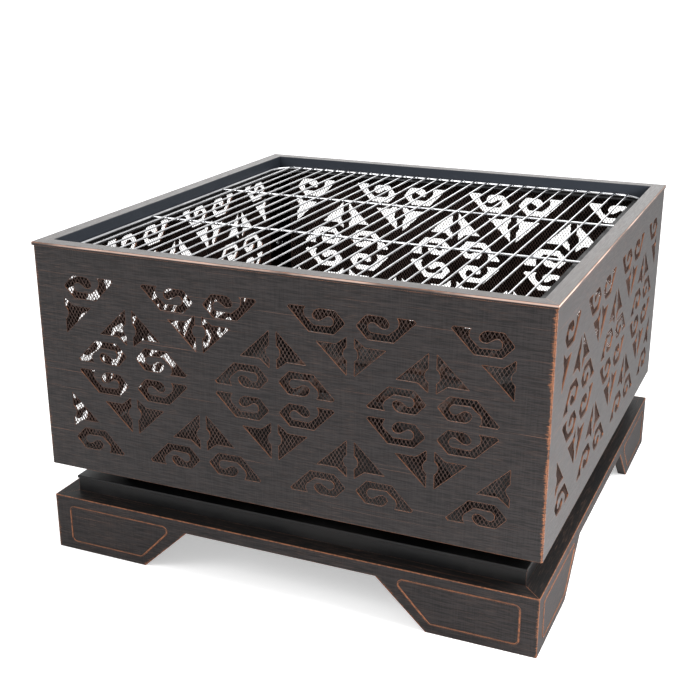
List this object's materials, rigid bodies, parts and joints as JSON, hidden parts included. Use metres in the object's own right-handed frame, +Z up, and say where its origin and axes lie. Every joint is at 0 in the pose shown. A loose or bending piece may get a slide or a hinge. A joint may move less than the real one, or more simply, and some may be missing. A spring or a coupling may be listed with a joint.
{
  "type": "square fire pit with cooking grate",
  "caption": "Square fire pit: pierced scrollwork drum with mesh screens, lift-out wire cooking grate, fire bowl and log grate, on a stepped stand with bracket feet.",
  "frame": {"origin": "on the floor under the middle of the stand, at the bottom centre of the bounding box", "axes": "+Z up, the front panel faces -Y, +X to the right when looking at the front"},
  "size_m": [0.66, 0.66, 0.422],
  "materials": {
    "bronze_paint": "dark rubbed bronze paint, brushed, with copper showing at worn edges",
    "black_paint": "satin high-temperature black paint",
    "black_mesh": "black painted expanded steel",
    "black_enamel": "glossy black enamel",
    "zinc": "zinc plated",
    "chrome_wire": "bright chrome plated wire",
    "black_iron": "heat-blackened bar steel"
  },
  "bodies": {
    "pit": {"front_panel": "bronze_paint", "right_panel": "bronze_paint", "rear_panel": "bronze_paint", "left_panel": "bronze_paint", "front_mesh_screen": "black_mesh", "right_mesh_screen": "black_mesh", "rear_mesh_screen": "black_mesh", "left_mesh_screen": "black_mesh", "front_rim_rail": "bronze_paint", "right_rim_rail": "bronze_paint", "rear_rim_rail": "bronze_paint", "left_rim_rail": "bronze_paint", "front_grate_ledge": "black_paint", "right_grate_ledge": "black_paint", "rear_grate_ledge": "black_paint", "left_grate_ledge": "black_paint", "front_base_side": "bronze_paint", "right_base_side": "bronze_paint", "rear_base_side": "bronze_paint", "left_base_side": "bronze_paint", "front_right_base_corner": "black_paint", "rear_right_base_corner": "black_paint", "rear_left_base_corner": "black_paint", "front_left_base_corner": "black_paint", "front_riser_rail": "black_paint", "right_riser_rail": "black_paint", "rear_riser_rail": "black_paint", "left_riser_rail": "black_paint", "plinth_tray": "bronze_paint", "fire_bowl": "black_enamel", "corner_bolts": "zinc", "corner_nuts": "zinc", "drum_screws": "zinc", "drum_nuts": "zinc", "riser_screws": "zinc", "riser_nuts": "zinc", "plinth_screws": "zinc", "plinth_nuts": "zinc"},
    "cooking_grate": {"grate_frame": "chrome_wire", "grate_rods": "chrome_wire", "grate_cross_rods": "chrome_wire"},
    "log_grate": {"log_grate_bars": "black_iron", "log_grate_legs": "black_iron"}
  },
  "joints": [
    {"name": "cooking_grate_lift", "type": "slide", "parent": "pit", "child": "cooking_grate", "axis": [0, 0, 1], "range_m": [0, 0.15]},
    {"name": "log_grate_lift", "type": "slide", "parent": "pit", "child": "log_grate", "axis": [0, 0, 1], "range_m": [0, 0.15]}
  ]
}
